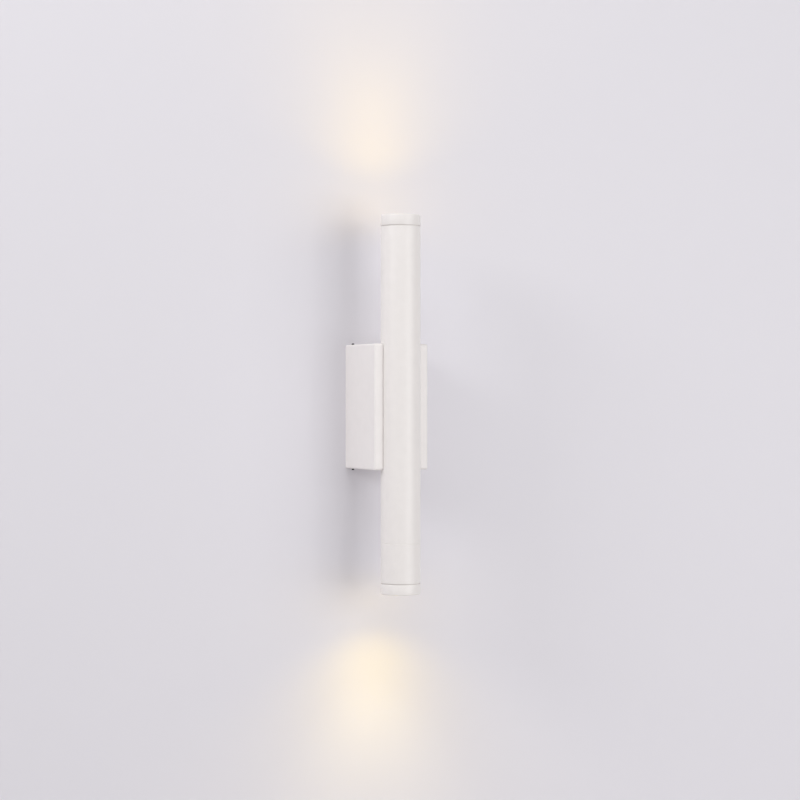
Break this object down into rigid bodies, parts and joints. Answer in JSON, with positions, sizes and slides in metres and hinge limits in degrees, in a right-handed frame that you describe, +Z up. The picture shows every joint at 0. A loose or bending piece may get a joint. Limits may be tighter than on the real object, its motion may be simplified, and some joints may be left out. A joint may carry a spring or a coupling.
{
  "type": "tube wall light",
  "caption": "Up-and-down wall light: a slim round tube with screw-on end rings, half sunk in a channel down the front of a box that stands on the wall.",
  "frame": {"origin": "on the wall behind the middle of the box: the centre of the wall plate's back face", "axes": "+Y into the wall, so the light stands on the -Y side; +Z up along the tube; +X to the right for someone who faces the wall"},
  "size_m": [0.06, 0.0885, 0.381],
  "materials": {
    "tube_paint": "satin warm white powder coat",
    "ring_paint": "satin warm white powder coat",
    "housing_paint": "satin warm white powder coat",
    "clear_glass": "clear toughened glass",
    "black_rubber": "moulded rubber",
    "pad_foam": "closed-cell foam tape",
    "zinc_steel": "bright zinc plated",
    "spring_steel": "phosphated spring steel",
    "black_steel": "blackened steel",
    "brass": "plain turned brass",
    "aluminium": "plain machined aluminium",
    "reflector_metal": "bright anodised, mirror-like",
    "board_white": "white solder mask",
    "led_phosphor": "warm white phosphor, lit",
    "white_plastic": "moulded, fine matt",
    "black_plastic": "moulded, matt",
    "board_green": "green solder mask",
    "ferrite": "ferrite and tape",
    "capacitor_sleeve": "shrink sleeve",
    "white_sheath": "soft insulation",
    "earth_sheath": "green and yellow insulation with a tinned tag"
  },
  "bodies": {
    "light_body": {"wall_plate": "zinc_steel", "cable_grommet": "black_rubber", "terminal_block": "white_plastic", "terminal_clamps": "brass", "terminal_fixing_screws": "zinc_steel", "supply_leads": "white_sheath", "earth_pillar": "brass", "earth_lead": "earth_sheath", "earth_screw": "zinc_steel", "driver_pad": "pad_foam", "driver_case": "white_plastic", "driver_cover": "white_plastic", "driver_board": "board_green", "driver_transformer": "ferrite", "driver_capacitor": "capacitor_sleeve", "housing": "housing_paint", "housing_set_screws": "black_steel", "backing_bar": "aluminium", "tube_screws": "zinc_steel", "spring_washers": "zinc_steel", "cable_nipple": "zinc_steel", "nipple_nut": "zinc_steel", "nipple_bush": "black_plastic", "main_tube": "tube_paint", "joint_collar": "aluminium", "upper_lead": "white_sheath", "lower_lead": "white_sheath", "upper_plug": "black_plastic", "lower_plug": "black_plastic", "top_reflector": "reflector_metal", "top_led_chip": "led_phosphor", "top_led_board": "board_white", "top_board_screws": "zinc_steel", "top_heatsink": "aluminium", "top_socket": "black_plastic", "top_board_leads": "white_sheath"},
    "top_glass_set": {"top_glass": "clear_glass", "top_gasket": "black_rubber"},
    "top_screw_ring": {"top_ring": "ring_paint", "top_snap_ring": "spring_steel"},
    "head_seal": {"joint_seal": "black_rubber"},
    "lower_head": {"lower_tube": "tube_paint", "bottom_reflector": "reflector_metal", "bottom_led_chip": "led_phosphor", "bottom_led_board": "board_white", "bottom_board_screws": "zinc_steel", "bottom_heatsink": "aluminium", "bottom_socket": "black_plastic", "bottom_board_leads": "white_sheath"},
    "bottom_glass_set": {"bottom_glass": "clear_glass", "bottom_gasket": "black_rubber"},
    "bottom_screw_ring": {"bottom_ring": "ring_paint", "bottom_snap_ring": "spring_steel"}
  },
  "joints": [
    {"name": "top_ring_travel", "type": "slide", "parent": "light_body", "child": "top_glass_set", "axis": [0, 0, 1], "range_m": [0, 0.007]},
    {"name": "top_ring_turn", "type": "hinge", "parent": "top_glass_set", "child": "top_screw_ring", "pos_m": [0, -0.0685, 0.1811], "axis": [0, 0, 1], "range_deg": [0, 2520]},
    {"name": "lower_head_travel", "type": "slide", "parent": "light_body", "child": "head_seal", "axis": [0, 0, -1], "range_m": [0, 0.007]},
    {"name": "lower_head_turn", "type": "hinge", "parent": "head_seal", "child": "lower_head", "pos_m": [0, -0.0685, -0.1371], "axis": [0, 0, -1], "range_deg": [0, 2520]},
    {"name": "bottom_ring_travel", "type": "slide", "parent": "lower_head", "child": "bottom_glass_set", "axis": [0, 0, -1], "range_m": [0, 0.007]},
    {"name": "bottom_ring_turn", "type": "hinge", "parent": "bottom_glass_set", "child": "bottom_screw_ring", "pos_m": [0, -0.0685, -0.1767], "axis": [0, 0, -1], "range_deg": [0, 2520]}
  ],
  "couplings": [
    {"joint": "top_ring_turn", "follows": "top_ring_travel", "rad_per_m": 6283.2},
    {"joint": "lower_head_turn", "follows": "lower_head_travel", "rad_per_m": 6283.2},
    {"joint": "bottom_ring_turn", "follows": "bottom_ring_travel", "rad_per_m": 6283.2}
  ]
}
